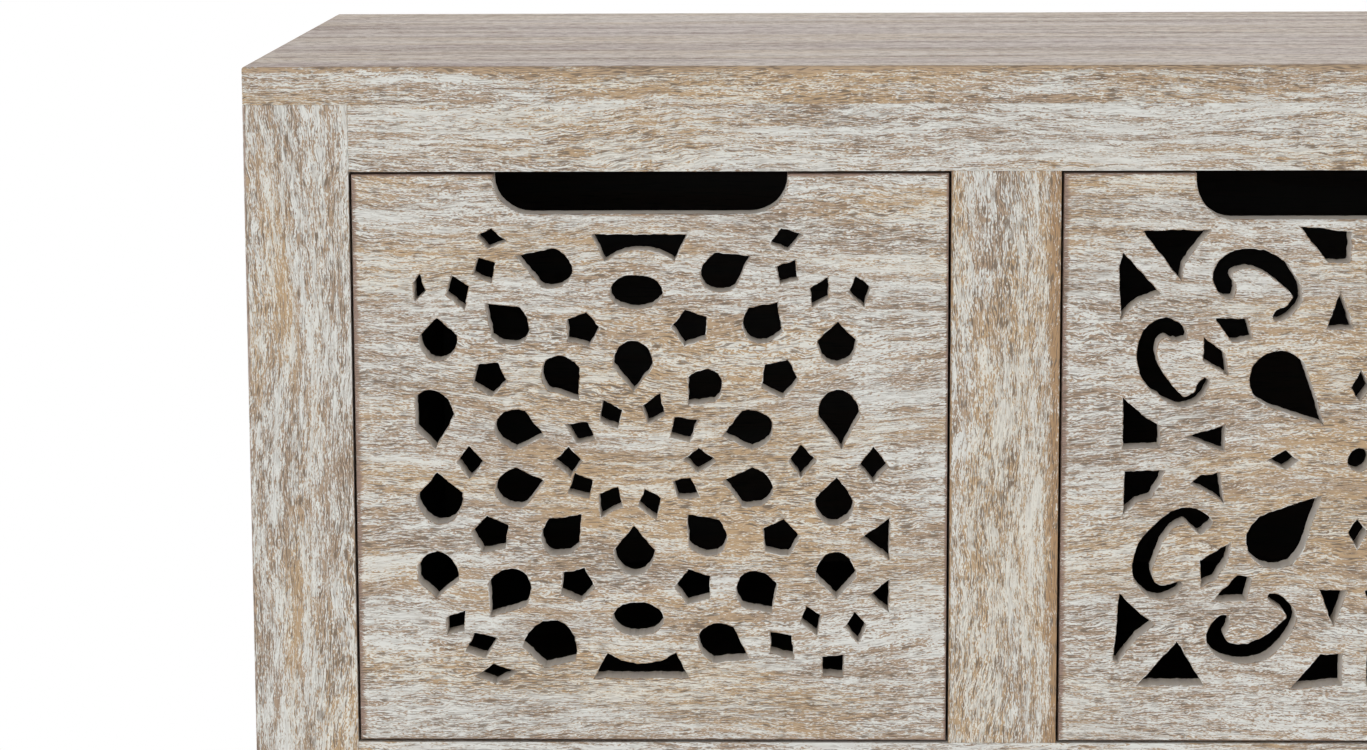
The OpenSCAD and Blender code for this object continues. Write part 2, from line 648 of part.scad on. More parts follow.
top_board();
corner_post(-1, -1);  // front_left_post
corner_post(1, -1);  // front_right_post
corner_post(-1, 1);  // back_left_post
corner_post(1, 1);  // back_right_post
cross_rail(0, front_rail_y, front_rail_t, true);  // front_top_rail
cross_rail(1, front_rail_y, front_rail_t, true);  // front_upper_rail
cross_rail(2, front_rail_y, front_rail_t, true);  // front_lower_rail
cross_rail(3, front_rail_y, front_rail_t, true);  // front_bottom_rail
stile(0);  // top_stile
stile(1);  // middle_stile
stile(2);  // bottom_stile
cross_rail(0, back_rail_y, back_rail_t, false);  // back_top_rail
cross_rail(1, back_rail_y, back_rail_t, false);  // back_upper_rail
cross_rail(2, back_rail_y, back_rail_t, false);  // back_lower_rail
cross_rail(3, back_rail_y, back_rail_t, false);  // back_bottom_rail
back_panel();
side_rail(-1, SIDE_RAILS[0]);  // left_top_side_rail
side_rail(-1, SIDE_RAILS[1]);  // left_bottom_side_rail
side_rail(1, SIDE_RAILS[0]);  // right_top_side_rail
side_rail(1, SIDE_RAILS[1]);  // right_bottom_side_rail
side_panel(-1);  // left_side_panel
side_panel(1);  // right_side_panel
side_bearers();
centre_bearers();
side_guides();
centre_guides();
drawer_stops();
top_screws();
floor_glides();
drawer_front(0, 0);  // top_left_drawer_front
drawer_side(0, 0, -1);  // top_left_drawer_left_side
drawer_side(0, 0, 1);  // top_left_drawer_right_side
drawer_back(0, 0);  // top_left_drawer_back
drawer_bottom(0, 0);  // top_left_drawer_bottom
drawer_front(1, 0);  // top_right_drawer_front
drawer_side(1, 0, -1);  // top_right_drawer_left_side
drawer_side(1, 0, 1);  // top_right_drawer_right_side
drawer_back(1, 0);  // top_right_drawer_back
drawer_bottom(1, 0);  // top_right_drawer_bottom
drawer_front(0, 1);  // middle_left_drawer_front
drawer_side(0, 1, -1);  // middle_left_drawer_left_side
drawer_side(0, 1, 1);  // middle_left_drawer_right_side
drawer_back(0, 1);  // middle_left_drawer_back
drawer_bottom(0, 1);  // middle_left_drawer_bottom
drawer_front(1, 1);  // middle_right_drawer_front
drawer_side(1, 1, -1);  // middle_right_drawer_left_side
drawer_side(1, 1, 1);  // middle_right_drawer_right_side
drawer_back(1, 1);  // middle_right_drawer_back
drawer_bottom(1, 1);  // middle_right_drawer_bottom
drawer_front(0, 2);  // bottom_left_drawer_front
drawer_side(0, 2, -1);  // bottom_left_drawer_left_side
drawer_side(0, 2, 1);  // bottom_left_drawer_right_side
drawer_back(0, 2);  // bottom_left_drawer_back
drawer_bottom(0, 2);  // bottom_left_drawer_bottom
drawer_front(1, 2);  // bottom_right_drawer_front
drawer_side(1, 2, -1);  // bottom_right_drawer_left_side
drawer_side(1, 2, 1);  // bottom_right_drawer_right_side
drawer_back(1, 2);  // bottom_right_drawer_back
drawer_bottom(1, 2);  // bottom_right_drawer_bottom
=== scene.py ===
import json
import math

import bmesh
import bpy
from mathutils import Matrix, Vector, noise


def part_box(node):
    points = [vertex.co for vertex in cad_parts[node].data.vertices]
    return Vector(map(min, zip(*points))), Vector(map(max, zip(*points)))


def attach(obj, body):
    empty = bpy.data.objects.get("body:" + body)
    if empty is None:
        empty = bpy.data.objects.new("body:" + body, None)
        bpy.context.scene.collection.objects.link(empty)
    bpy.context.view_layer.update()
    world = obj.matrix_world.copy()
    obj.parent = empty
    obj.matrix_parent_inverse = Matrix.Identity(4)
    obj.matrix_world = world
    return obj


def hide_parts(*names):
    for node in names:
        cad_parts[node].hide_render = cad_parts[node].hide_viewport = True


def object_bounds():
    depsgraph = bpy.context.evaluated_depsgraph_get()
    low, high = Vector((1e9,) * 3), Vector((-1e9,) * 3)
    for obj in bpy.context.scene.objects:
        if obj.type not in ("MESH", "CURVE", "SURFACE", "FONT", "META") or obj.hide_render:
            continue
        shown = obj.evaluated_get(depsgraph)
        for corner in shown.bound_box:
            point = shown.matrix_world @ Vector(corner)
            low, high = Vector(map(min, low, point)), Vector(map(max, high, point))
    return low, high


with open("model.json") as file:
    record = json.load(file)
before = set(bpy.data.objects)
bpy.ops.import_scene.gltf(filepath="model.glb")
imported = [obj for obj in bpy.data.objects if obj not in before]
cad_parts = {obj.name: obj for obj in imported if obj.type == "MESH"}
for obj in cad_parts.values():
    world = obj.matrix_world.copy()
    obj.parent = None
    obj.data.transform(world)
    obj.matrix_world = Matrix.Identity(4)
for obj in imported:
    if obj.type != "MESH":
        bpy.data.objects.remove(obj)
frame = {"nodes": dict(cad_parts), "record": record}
cad_low, cad_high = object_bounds()
NODES = frame["nodes"]
BODY_OF = {n: b for b, members in frame["record"]["behaviour"]["bodies"].items() for n in members}
MM = 0.001
WIDTH, DEPTH, HEIGHT = cad_high - cad_low
HALF_W, Y_BACK = WIDTH / 2, DEPTH / 2
RUNNERS = ("side_bearers", "centre_bearers", "side_guides", "centre_guides")
SAME_PLANE, SAME_POINT = 0.2 * MM, 1e-6


def add_object(name, data):
    made = bpy.data.objects.new(name, data)
    bpy.context.scene.collection.objects.link(made)
    return made


def mesh_from(bm, name):
    """The bmesh as a mesh. The bmesh is freed."""
    mesh = bpy.data.meshes.new(name)
    bm.to_mesh(mesh)
    bm.free()
    return mesh


# ---------- camera: at the photograph's viewing angle ----------
PHOTO_WIDTH_PX, SENSOR_MM = 1367, 36


def make_camera(place, pitch, yaw, roll, focal_px):
    """A camera that looks along +Y, turned left by yaw and down by pitch, in metres and radians."""
    level_right = Vector((math.cos(yaw), math.sin(yaw), 0))
    ahead = Vector((-math.sin(yaw), math.cos(yaw), 0))
    look = math.cos(pitch) * ahead - math.sin(pitch) * Vector((0, 0, 1))
    up = math.sin(pitch) * ahead + math.cos(pitch) * Vector((0, 0, 1))
    side = math.cos(roll) * level_right + math.sin(roll) * up
    top = math.cos(roll) * up - math.sin(roll) * level_right
    data = bpy.data.cameras.new("camera")
    data.sensor_fit = "HORIZONTAL"
    data.sensor_width = SENSOR_MM
    data.lens = focal_px / PHOTO_WIDTH_PX * SENSOR_MM
    cam = add_object("camera", data)
    cam.matrix_world = Matrix((
        (side.x, top.x, -look.x, place[0]), (side.y, top.y, -look.y, place[1]),
        (side.z, top.z, -look.z, place[2]), (0, 0, 0, 1)))
    bpy.context.scene.camera = cam


make_camera(place=(-0.1075, -2.0, 1.2221), pitch=0.15687, yaw=0.02555, roll=-0.00446, focal_px=3811.6)
bpy.context.scene.view_settings.view_transform = "Standard"


# ---------- node shorthand ----------
FLOAT, VECTOR, COLOR = "NodeSocketFloat", "NodeSocketVector", "NodeSocketColor"
# the sockets of a Mix node that mixes colours
MIX_FACTOR, MIX_A, MIX_B, MIX_RESULT = 0, 6, 7, 2


def plug(tree, value, socket):
    if isinstance(value, bpy.types.NodeSocket):
        tree.links.new(value, socket)
    else:
        socket.default_value = value


def calc(tree, op, *values):
    n = tree.nodes.new("ShaderNodeMath")
    n.operation = op
    for v, s in zip(values, n.inputs):
        plug(tree, v, s)
    return n.outputs[0]


def vec(tree, op, a, b):
    n = tree.nodes.new("ShaderNodeVectorMath")
    n.operation = op
    plug(tree, a, n.inputs[0])
    plug(tree, b, n.inputs[1])
    return n.outputs[0]


def fuzz(tree, place, scale, detail=2.0, rough=0.5):
    """Noise about 0.5 over place, with scale in cells per metre for each axis."""
    n = tree.nodes.new("ShaderNodeTexNoise")
    n.inputs["Scale"].default_value = 1.0
    n.inputs["Detail"].default_value = detail
    n.inputs["Roughness"].default_value = rough
    tree.links.new(vec(tree, "MULTIPLY", place, scale), n.inputs["Vector"])
    return n.outputs["Fac"]


def centred(tree, value, size):
    """A value about 0.5 as one about 0, times size."""
    return calc(tree, "MULTIPLY", calc(tree, "SUBTRACT", value, 0.5), size)


def step(tree, value, low, high, to_low=0.0, to_high=1.0):
    """to_low at low and to_high at high, with a smooth change between them."""
    n = tree.nodes.new("ShaderNodeMapRange")
    n.interpolation_type = "SMOOTHSTEP"
    for v, s in zip((value, low, high, to_low, to_high), n.inputs):
        plug(tree, v, s)
    return n.outputs[0]


def blend(tree, factor, a, b):
    n = tree.nodes.new("ShaderNodeMix")
    n.data_type = "RGBA"
    plug(tree, factor, n.inputs[MIX_FACTOR])
    plug(tree, a, n.inputs[MIX_A])
    plug(tree, b, n.inputs[MIX_B])
    return n.outputs[MIX_RESULT]


def rgb(r, g, b):
    """A display colour of 0 to 255 as the shader's linear colour."""
    return tuple(
        c / 255 / 12.92 if c / 255 <= 0.04045 else ((c / 255 + 0.055) / 1.055) ** 2.4
        for c in (r, g, b)) + (1.0,)


def split(tree, vector):
    n = tree.nodes.new("ShaderNodeSeparateXYZ")
    plug(tree, vector, n.inputs[0])
    return list(n.outputs)


def join(tree, *values):
    n = tree.nodes.new("ShaderNodeCombineXYZ")
    for v, s in zip(values, n.inputs):
        plug(tree, v, s)
    return n.outputs[0]


def distance(tree, a, b):
    return calc(tree, "SQRT", calc(tree, "ADD", calc(tree, "MULTIPLY", a, a), calc(tree, "MULTIPLY", b, b)))


def wander(tree, place, drift):
    """place with its grain lines, which run along X, moved sideways by drift."""
    x, y, z = split(tree, place)
    return join(tree, x, calc(tree, "ADD", y, drift), z)


def new_finish(name, inputs):
    """A node group that gives a colour, a roughness and a height, with its input and output sockets."""
    tree = bpy.data.node_groups.new(name, "ShaderNodeTree")
    for n, kind in inputs:
        tree.interface.new_socket(n, in_out="INPUT", socket_type=kind)
    for n, kind in (("Color", COLOR), ("Roughness", FLOAT), ("Height", FLOAT)):
        tree.interface.new_socket(n, in_out="OUTPUT", socket_type=kind)
    return tree, tree.nodes.new("NodeGroupInput").outputs, tree.nodes.new("NodeGroupOutput").inputs


def give(tree, out, color, roughness, height):
    plug(tree, color, out["Color"])
    plug(tree, roughness, out["Roughness"])
    plug(tree, height, out["Height"])


def new_material(name):
    mat = bpy.data.materials.new(name)
    mat.use_nodes = True
    mat.node_tree.nodes.clear()
    return mat, mat.node_tree


# ---------- whitewash ----------
BARE_COOL, BARE_WARM, BARE_DARK = rgb(165, 143, 121), rgb(181, 153, 118), rgb(135, 113, 92)
WASH_COOL, WASH_WARM, WASH_DULL = rgb(218, 218, 213), rgb(219, 215, 204), rgb(190, 185, 178)
PORE_DARK = rgb(107, 91, 75)


def make_whitewash():
    """Place is in metres with X along the grain. Along scales it for the larger shapes, so that an X under 1 draws
    them out along the grain. Patch is how much the wash varies over a few millimetres. Cover above 0 gives more
    white, and Warm above 0 warmer wood. Wear is 1 on a rubbed arris, which has the colour Worn."""
    t, given, out = new_finish("whitewash", [
        ("Place", VECTOR), ("Along", VECTOR), ("Patch", FLOAT), ("Cover", FLOAT), ("Warm", FLOAT), ("Wear", FLOAT),
        ("Worn", COLOR)])
    place, cover, wear = given["Place"], given["Cover"], given["Wear"]
    # the grain line wanders, slowly over the board and quickly over a few millimetres
    sway = centred(t, fuzz(t, place, (6, 16, 16), 1), 0.026)
    jitter = centred(t, fuzz(t, place, (70, 140, 140), 1), 0.0034)
    line = wander(t, place, calc(t, "ADD", sway, jitter))
    drawn = vec(t, "MULTIPLY", line, given["Along"])
    # how thick the wash is, from the largest shapes to the smallest
    zone = centred(t, fuzz(t, drawn, (10, 64, 64), 3, 0.85), 1.05)
    patch = centred(t, fuzz(t, drawn, (42, 270, 270), 2, 0.7), given["Patch"])
    island = centred(t, fuzz(t, drawn, (170, 1250, 1250), 2, 0.68), 1.5)
    fleck = centred(t, fuzz(t, line, (560, 2700, 2700), 1, 0.5), 1.7)
    thick = calc(t, "ADD", calc(t, "ADD", zone, patch), cover)
    thick = calc(t, "SUBTRACT", thick, calc(t, "MULTIPLY", wear, 0.4))
    total = calc(t, "ADD", thick, calc(t, "ADD", island, fleck))
    white = step(t, total, -0.06, 0.06)
    # short dark strokes of open pores, dense in some zones, and mostly filled where the wash is thick
    dense = centred(t, fuzz(t, line, (11, 60, 60), 2), 0.3)
    stroke = calc(t, "ADD", fuzz(t, line, (150, 1900, 1900), 1, 0.5), dense)
    unfilled = step(t, thick, -0.1, 0.35, 1.0, 0.3)
    pore = calc(t, "MULTIPLY", step(t, stroke, 0.515, 0.62), unfilled)
    # colours under and in the wash
    hue = calc(t, "ADD", fuzz(t, line, (6, 34, 34), 2), given["Warm"])
    bare = blend(t, step(t, hue, 0.4, 0.62), BARE_COOL, BARE_WARM)
    bare = blend(t, step(t, fuzz(t, line, (90, 420, 420), 1), 0.56, 0.76), bare, BARE_DARK)
    bare = blend(t, calc(t, "MULTIPLY", wear, 0.95), bare, given["Worn"])
    wash = blend(t, step(t, hue, 0.44, 0.68), WASH_COOL, WASH_WARM)
    wash = blend(t, step(t, fuzz(t, line, (60, 500, 500), 2), 0.42, 0.7, 0, 0.5), wash, WASH_DULL)
    color = blend(t, white, bare, wash)
    color = blend(t, calc(t, "MULTIPLY", pore, 0.9), color, PORE_DARK)
    height = calc(t, "SUBTRACT", calc(t, "MULTIPLY", white, 0.6), calc(t, "MULTIPLY", pore, 0.8))
    give(t, out, color, step(t, white, 0, 1, 0.62, 0.78), height)
    return t


WHITEWASH = make_whitewash()


# ---------- the smoother finish on the top, with painted shade and sheen in its tones ---
def make_top_shaded_wash():
    t, given, out = new_finish("top_wash", [("Place", VECTOR), ("Wear", FLOAT)])
    place, wear = given["Place"], given["Wear"]
    line = wander(t, place, centred(t, fuzz(t, place, (3, 10, 10), 1), 0.02))
    # broad is the slow change of tone, band the growth rings, and streak and fine the short open grain
    broad = fuzz(t, line, (2.5, 24, 24), 3, 0.7)
    band = fuzz(t, line, (4, 60, 60), 3, 0.8)
    streak = fuzz(t, line, (30, 380, 380), 2, 0.65)
    fine = fuzz(t, line, (170, 400, 400), 3, 0.8)
    # the base tones are darker, greyer and more mauve than the wash elsewhere: painted shade and sheen of the top
    # seen at a grazing angle, over the grain of the wood
    color = blend(t, step(t, broad, 0.4, 0.6), rgb(185, 168, 165), rgb(205, 186, 164))
    # each pattern lightens the wood at one end of its range and darkens it at the other
    for pattern, none_at, most_at, most, tone in (
            (band, 0.46, 0.64, 0.9, rgb(214, 204, 196)), (band, 0.52, 0.36, 0.95, rgb(142, 122, 108)),
            (streak, 0.5, 0.68, 0.6, rgb(224, 216, 208)), (streak, 0.48, 0.32, 0.6, rgb(142, 122, 110)),
            (fine, 0.5, 0.62, 0.7, rgb(226, 218, 210)), (fine, 0.48, 0.36, 0.8, rgb(136, 116, 104))):
        color = blend(t, step(t, pattern, none_at, most_at, 0, most), color, tone)
    color = blend(t, calc(t, "MULTIPLY", wear, 0.75), color, rgb(150, 122, 94))
    height = calc(t, "ADD", calc(t, "MULTIPLY", streak, 0.4), calc(t, "MULTIPLY", fine, -0.4))
    give(t, out, color, step(t, streak, 0.3, 0.7, 0.66, 0.76), height)
    return t


TOP_SHADED_WASH = make_top_shaded_wash()


# ---------- painted walls of the sawn holes ----------
def make_sawn_wall():
    t, given, out = new_finish("sawn_wall", [("Place", VECTOR)])
    mottle = fuzz(t, given["Place"], (160, 160, 160), 2)
    saw = fuzz(t, given["Place"], (900, 260, 900), 1)
    color = blend(t, step(t, mottle, 0.35, 0.7), rgb(220, 213, 206), rgb(226, 218, 206))
    color = blend(t, step(t, saw, 0.56, 0.74, 0, 0.35), color, rgb(198, 184, 174))
    give(t, out, color, step(t, mottle, 0.3, 0.7, 0.7, 0.8), saw)
    return t


SAWN_WALL = make_sawn_wall()


# ---------- near-black inner wood, a painted shade: dark enough that the holes and the finger notch read as black as the shade inside the drawers ---
def make_painted_shade_stain():
    t, given, out = new_finish("dark_stain", [("Place", VECTOR)])
    place = given["Place"]
    line = wander(t, place, centred(t, fuzz(t, place, (4, 12, 12), 1), 0.02))
    ring = fuzz(t, line, (3, 90, 90), 3, 0.55)
    pore = fuzz(t, line, (60, 900, 900), 1)
    # the near-black tones are painted shade, standing in for the dark inside the drawers; the rings and pores are
    # the grain
    color = blend(t, step(t, ring, 0.35, 0.68), rgb(23, 18, 14), rgb(41, 31, 24))
    color = blend(t, step(t, pore, 0.55, 0.7, 0, 0.7), color, rgb(12, 9, 7))
    height = calc(t, "SUBTRACT", calc(t, "MULTIPLY", ring, 0.3), calc(t, "MULTIPLY", pore, 0.6))
    give(t, out, color, step(t, ring, 0.3, 0.7, 0.55, 0.7), height)
    return t


PAINTED_SHADE_STAIN = make_painted_shade_stain()


# ---------- one material for each piece: its own grain direction, offset and worn arrises ----------
# the bare middle of a front fades out between these distances from its centre
MIDDLE = (20 * MM, 130 * MM)
GRAIN_DEPTH = 0.12 * MM
SHADE_STAIN_SHINE = 0.25


def worn(t, place, coords, box, rub, fray):
    """1 along the rubbed arrises. rub gives for sides of the box such as -x, or corners such as -x-y, how far the
    wear reaches in, in millimetres, and fray how unevenly it ends."""
    near = None
    for sides, reach in rub.items():
        away = None
        for sign, axis in zip(sides[::2], sides[1::2]):
            i = "xyz".index(axis)
            ends = (coords[i], box[0][i]) if sign == "-" else (box[1][i], coords[i])
            depth = calc(t, "SUBTRACT", *ends)
            away = depth if away is None else calc(t, "MAXIMUM", away, depth)
        away = calc(t, "DIVIDE", away, reach * MM)
        near = away if near is None else calc(t, "MINIMUM", near, away)
    uneven = centred(t, fuzz(t, place, (35, 200, 200), 2, 0.6), fray)
    return step(t, calc(t, "ADD", near, uneven), 0.25, 1.0, 1.0, 0.0)


def wood(name, group, grain, offset, cover=0.0, warm=0.0, box=None, rub=None, fray=2.6, worn_color=None,
         shine=0.5, along=1.0, patch=1.45, bare_middle=0.0):
    """Wood of the node group, its grain along the axis named grain and its pattern moved by offset. bare_middle
    takes that much cover away round the middle of the box, and warms the wood there."""
    mat, t = new_material(name)
    coords = split(t, t.nodes.new("ShaderNodeTexCoord").outputs["Object"])
    x, y, z = coords
    place = join(t, *{"x": (x, z, y), "y": (y, z, x), "z": (z, x, y)}[grain])
    place = vec(t, "ADD", place, offset)
    g = t.nodes.new("ShaderNodeGroup")
    g.node_tree = group
    t.links.new(place, g.inputs["Place"])
    if group is WHITEWASH:
        g.inputs["Along"].default_value = (along, 1, 1)
        g.inputs["Patch"].default_value = patch
        g.inputs["Cover"].default_value = cover
        g.inputs["Warm"].default_value = warm
        if bare_middle:
            to_side = calc(t, "SUBTRACT", x, (box[0][0] + box[1][0]) / 2)
            to_top = calc(t, "SUBTRACT", z, (box[0][2] + box[1][2]) / 2)
            away = distance(t, to_side, to_top)
            plug(t, step(t, away, *MIDDLE, cover - bare_middle, cover), g.inputs["Cover"])
            plug(t, step(t, away, *MIDDLE, warm + bare_middle, warm), g.inputs["Warm"])
    if rub:
        t.links.new(worn(t, place, coords, box, rub, fray), g.inputs["Wear"])
    if worn_color:
        g.inputs["Worn"].default_value = worn_color
    bsdf = t.nodes.new("ShaderNodeBsdfPrincipled")
    bsdf.inputs["Specular IOR Level"].default_value = shine
    t.links.new(g.outputs["Color"], bsdf.inputs["Base Color"])
    t.links.new(g.outputs["Roughness"], bsdf.inputs["Roughness"])
    bump = t.nodes.new("ShaderNodeBump")
    bump.inputs["Strength"].default_value = 0.5
    bump.inputs["Distance"].default_value = GRAIN_DEPTH
    t.links.new(g.outputs["Height"], bump.inputs["Height"])
    t.links.new(bump.outputs[0], bsdf.inputs["Normal"])
    t.links.new(bsdf.outputs[0], t.nodes.new("ShaderNodeOutputMaterial").inputs[0])
    return mat


def seed_of(name):
    """A fixed offset into the noise for each piece, from its name. Its numbers only spread the names."""
    h = 0
    for ch in name:
        h = (h * 131 + ord(ch)) % 9973
    return (h % 97) * 0.37 + 1.3, (h % 89) * 0.29 + 2.1, (h % 83) * 0.41 + 0.7


# ---------- eased copies of the CAD solids ----------
# widths in millimetres, none over WIDEST
OUTER_ARRIS, DRAWER_ARRIS, SMALL_ARRIS, BOARD_ARRIS, FINE_ARRIS, WIDEST = 1.3, 0.9, 0.6, 0.5, 0.35, 1.5
SHARP, SHORTEST_EASED = math.radians(30), 4 * MM
COPLANAR = math.radians(0.4)


def clean_mesh(source):
    """The CAD mesh with its shared corners joined and its flat faces whole again."""
    bm = bmesh.new()
    bm.from_mesh(source)
    bmesh.ops.remove_doubles(bm, verts=bm.verts, dist=SAME_POINT)
    bmesh.ops.dissolve_limit(bm, angle_limit=COPLANAR, verts=bm.verts, edges=bm.edges)
    return bm


def on(value, plane):
    return abs(value - plane) < SAME_PLANE


def arris_width(node, a, b):
    """How wide the edge from a to b is eased, in millimetres."""
    mid = (a + b) / 2
    at_corner = on(abs(mid.x), HALF_W) and on(abs(mid.y), Y_BACK)
    if node == "top_board":
        return OUTER_ARRIS if on(mid.z, HEIGHT) or at_corner else BOARD_ARRIS
    if node.endswith("_post"):
        return OUTER_ARRIS if at_corner else FINE_ARRIS
    if "_drawer_" in node:
        return DRAWER_ARRIS
    if node in RUNNERS or node in ("drawer_stops", "floor_glides"):
        return SMALL_ARRIS
    return FINE_ARRIS


def eased_piece(node, segments=3):
    bm = clean_mesh(NODES[node].data)
    weight = bm.edges.layers.float.new("bevel_weight_edge")
    for e in bm.edges:
        if len(e.link_faces) == 2 and e.is_convex and e.calc_face_angle(0) > SHARP:
            if e.calc_length() > SHORTEST_EASED:
                e[weight] = arris_width(node, e.verts[0].co, e.verts[1].co) / WIDEST
    piece = add_object(node + "_eased", mesh_from(bm, node + "_mesh"))
    ease = piece.modifiers.new("ease", "BEVEL")
    ease.limit_method = "WEIGHT"
    ease.width = WIDEST * MM
    ease.segments = segments
    ease.use_clamp_overlap = False
    eased = bpy.data.meshes.new_from_object(piece.evaluated_get(bpy.context.evaluated_depsgraph_get()))
    piece.modifiers.clear()
    piece.data = eased
    # a mitred corner may overshoot by a few hundredths of a millimetre
    low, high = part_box(node)
    for v in eased.vertices:
        v.co = Vector(min(max(c, a), b) for c, a, b in zip(v.co, low, high))
    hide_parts(node)
    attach(piece, BODY_OF[node])
    return piece


# ---------- pierced drawer fronts ----------
# for the outer outline and for a hole: its longest side, how uneven it is, and the width of its rounded rim
OUTER_SIDE, OUTER_UNEVEN, OUTER_RIM = 2.5 * MM, 0.12 * MM, 1.1 * MM
HOLE_SIDE, HOLE_UNEVEN, HOLE_RIM = 1.0 * MM, 0.48 * MM, 0.5 * MM
BACK_RIM = 0.4 * MM
# a corner of the outer outline that lies this far inside the box belongs to the finger notch
NOTCH_INSET = 1 * MM
# material slots of a front, in the order in which its materials are added
WASHED, SAWN, INSIDE, RIM = range(4)
# a front with more outlines than this is a mandala, one with fewer is scrollwork
MANDALA_LOOPS = 40


def face_loops(node, y):
    """Outlines of the node's flat face at y, as lists of (x, z), the longest first."""
    bm = bmesh.new()
    bm.from_mesh(NODES[node].data)
    bmesh.ops.remove_doubles(bm, verts=bm.verts, dist=SAME_POINT)
    faces = [f for f in bm.faces if all(on(v.co.y, y) for v in f.verts)]
    in_plane = set(faces)
    follow = {}
    for f in faces:
        for loop in f.loops:
            if not any(other in in_plane for other in loop.edge.link_faces if other is not f):
                follow[loop.vert.index] = loop.link_loop_next.vert.index
    bm.verts.ensure_lookup_table()
    loops = []
    while follow:
        at, ring = next(iter(follow)), []
        while at in follow:
            ring.append((bm.verts[at].co.x, bm.verts[at].co.z))
            at = follow.pop(at)
        loops.append(ring)
    bm.free()
    return sorted(loops, key=lambda r: -sum(math.dist(p, q) for p, q in zip(r, r[1:] + r[:1])))


def refine(ring, longest):
    """The outline with no side longer than longest, and no side under a tenth of it."""
    out = []
    for p, q in zip(ring, ring[1:] + ring[:1]):
        d = math.dist(p, q)
        if d < longest / 10:
            continue
        n = max(1, math.ceil(d / longest))
        out += [(p[0] + (q[0] - p[0]) * i / n, p[1] + (q[1] - p[1]) * i / n) for i in range(n)]
    return out


def normals_of(ring):
    """For each corner the direction into the wood, longer at a sharp corner, but not over 1 / least_dot."""
    least_dot = 0.55
    out = []
    n = len(ring)
    for i, p in enumerate(ring):
        a, b = ring[i - 1], ring[(i + 1) % n]
        u = Vector((p[0] - a[0], p[1] - a[1])).normalized()
        v = Vector((b[0] - p[0], b[1] - p[1])).normalized()
        m = Vector((-u.y - v.y, u.x + v.x))
        if m.length < SAME_POINT:
            m = Vector((-u.y, u.x))
        m.normalize()
        m /= max(least_dot, m.dot(Vector((-u.y, u.x))))
        out.append(m)
    return out


def area_of(ring):
    return sum(p[0] * q[1] - q[0] * p[1] for p, q in zip(ring, ring[1:] + ring[:1])) / 2


def ragged(ring, seed, size):
    """A sawn edge: small waves and nicks across the outline, each with its number in a metre."""
    waves, nicks, nick_share = 230, 620, 0.7
    out = []
    for p, m in zip(ring, normals_of(ring)):
        w = noise.noise(Vector((p[0] * waves, p[1] * waves, seed))) + nick_share * noise.noise(
            Vector((p[0] * nicks, p[1] * nicks, seed + 7)))
        out.append((p[0] + m.x * w * size, p[1] + m.y * w * size))
    return out


def pierced_front(node):
    """The front built anew over its CAD outlines: a row of corners for each step of the rim and wall, from the
    front to the back, and a flat face over each end."""
    low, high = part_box(node)
    seed = seed_of(node)[0]
    bm = bmesh.new()
    edges = {"front": [], "back": []}
    thick = high.y - low.y
    for k, ring in enumerate(face_loops(node, low.y)):
        outer = k == 0
        if (area_of(ring) > 0) != outer:
            ring = ring[::-1]
        ring = refine(ring, OUTER_SIDE if outer else HOLE_SIDE)
        if outer:
            notch = [low.x + NOTCH_INSET < p[0] < high.x - NOTCH_INSET
                     and low.z + NOTCH_INSET < p[1] < high.z - NOTCH_INSET for p in ring]
            wavy = ragged(ring, seed, OUTER_UNEVEN)
            ring = [w if inside else p for p, w, inside in zip(ring, wavy, notch)]
            rim = OUTER_RIM
        else:
            ring = ragged(ring, seed, HOLE_UNEVEN)
            rim = HOLE_RIM
        into = normals_of(ring)
        rounded = [(rim, 0), (rim * 0.5, rim * 0.13), (rim * 0.13, rim * 0.5), (0, rim)]
        profile = rounded + [(0, thick - BACK_RIM), (BACK_RIM, thick)]
        rows = [[bm.verts.new((p[0] + m.x * c, low.y + y, p[1] + m.y * c)) for p, m in zip(ring, into)]
                for c, y in profile]
        for depth, (near_row, far_row) in enumerate(zip(rows, rows[1:])):
            for i in range(len(ring)):
                j = (i + 1) % len(ring)
                f = bm.faces.new((near_row[i], near_row[j], far_row[j], far_row[i]))
                washed = outer and not (notch[i] and notch[j])
                f.material_index = WASHED if washed else RIM if depth + 1 < len(rounded) else SAWN
        for row, side in ((rows[0], "front"), (rows[-1], "back")):
            edges[side] += [bm.edges.get((row[i], row[(i + 1) % len(row)])) for i in range(len(row))]
    for side, index, normal in (("front", WASHED, (0, -1, 0)), ("back", INSIDE, (0, 1, 0))):
        made = bmesh.ops.triangle_fill(bm, use_beauty=True, edges=edges[side], normal=normal)
        for f in made["geom"]:
            if isinstance(f, bmesh.types.BMFace):
                f.material_index = index
    bmesh.ops.recalc_face_normals(bm, faces=bm.faces)
    piece = add_object(node + "_pierced", mesh_from(bm, node + "_mesh"))
    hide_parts(node)
    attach(piece, BODY_OF[node])
    return piece


# ---------- small metal and plastic pieces ----------
def plain_finish(name, color, dull, metal, grit):
    """One colour with fine specks, grit of them in a metre. dull is the roughness."""
    mat, t = new_material(name)
    coords = t.nodes.new("ShaderNodeTexCoord").outputs["Object"]
    speck = fuzz(t, coords, (grit, grit, grit * 0.3), 2)
    bsdf = t.nodes.new("ShaderNodeBsdfPrincipled")
    bsdf.inputs["Metallic"].default_value = metal
    dark = tuple(c * 0.7 for c in color[:3]) + (1.0,)
    plug(t, blend(t, step(t, speck, 0.35, 0.7), dark, color), bsdf.inputs["Base Color"])
    plug(t, step(t, speck, 0.3, 0.7, dull, dull + 0.15), bsdf.inputs["Roughness"])
    t.links.new(bsdf.outputs[0], t.nodes.new("ShaderNodeOutputMaterial").inputs[0])
    return mat


